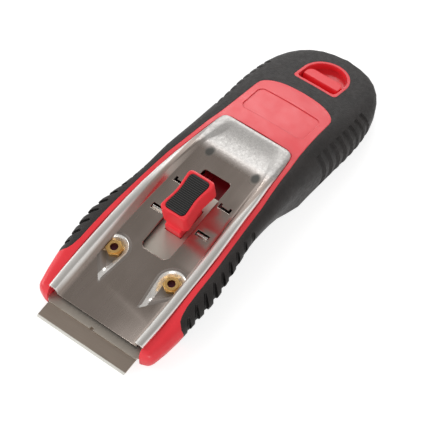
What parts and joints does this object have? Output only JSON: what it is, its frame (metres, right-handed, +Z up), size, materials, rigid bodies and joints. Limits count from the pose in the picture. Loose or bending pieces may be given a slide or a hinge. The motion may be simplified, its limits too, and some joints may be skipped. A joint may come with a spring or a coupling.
{
  "type": "razor blade scraper",
  "caption": "Flat hand scraper with a wide blade that slides out under a steel cover by a thumb button, a finned rubber grip and a spare blade bay.",
  "frame": {"origin": "on the ground, midway between the blade's edge and the rear end", "axes": "+X towards the blade, +Y to the tool's left, +Z up from the flat underside"},
  "size_m": [0.1539, 0.0576, 0.025],
  "materials": {
    "upper_shell": "satin",
    "lower_shell": "satin",
    "grip_sleeve": "fine grain",
    "steel_cover": "polished",
    "cover_nuts": "polished",
    "cover_screws": "satin",
    "blade_carrier": "satin",
    "blade_clamp": "satin",
    "clamp_rivets": "satin",
    "blade": "ground",
    "lock_spring": "polished",
    "spring_rivets": "satin",
    "slide_button": "satin",
    "button_pad": "fine ribs",
    "button_rivet": "satin",
    "door_latch": "satin",
    "latch_spring": "drawn wire",
    "storage_door": "satin",
    "door_hinge_pin": "drawn",
    "spare_blades": "ground",
    "stack_spring": "polished",
    "shell_screws": "satin"
  },
  "bodies": {
    "body": {"upper_shell": "upper_shell", "lower_shell": "lower_shell", "grip_sleeve": "grip_sleeve", "steel_cover": "steel_cover", "cover_nuts": "cover_nuts", "cover_screws": "cover_screws", "door_hinge_pin": "door_hinge_pin", "spare_blades": "spare_blades", "stack_spring": "stack_spring", "shell_screws": "shell_screws", "latch_spring": "latch_spring"},
    "carrier": {"blade_carrier": "blade_carrier", "blade_clamp": "blade_clamp", "clamp_rivets": "clamp_rivets", "blade": "blade", "lock_spring": "lock_spring", "spring_rivets": "spring_rivets"},
    "button": {"slide_button": "slide_button", "button_pad": "button_pad", "button_rivet": "button_rivet"},
    "latch": {"door_latch": "door_latch"},
    "door": {"storage_door": "storage_door"}
  },
  "joints": [
    {"name": "carrier_slide", "type": "slide", "parent": "body", "child": "carrier", "axis": [0.9858, 0, -0.1676], "range_m": [-0.013, 0.0105]},
    {"name": "button_press", "type": "slide", "parent": "carrier", "child": "button", "axis": [-0.1676, 0, -0.9858], "range_m": [0, 0.001], "stiffness_N_per_m": 1500, "springref_m": -0.0005, "deforming": ["lock_spring"]},
    {"name": "door_hinge", "type": "hinge", "parent": "body", "child": "door", "pos_m": [-0.0183, 0, 0.0024], "axis": [0, -1, 0], "range_deg": [0, 95]},
    {"name": "latch_slide", "type": "slide", "parent": "body", "child": "latch", "axis": [-1, 0, 0], "range_m": [0, 0.0025], "stiffness_N_per_m": 600, "springref_m": -0.001, "deforming": ["latch_spring"]}
  ]
}
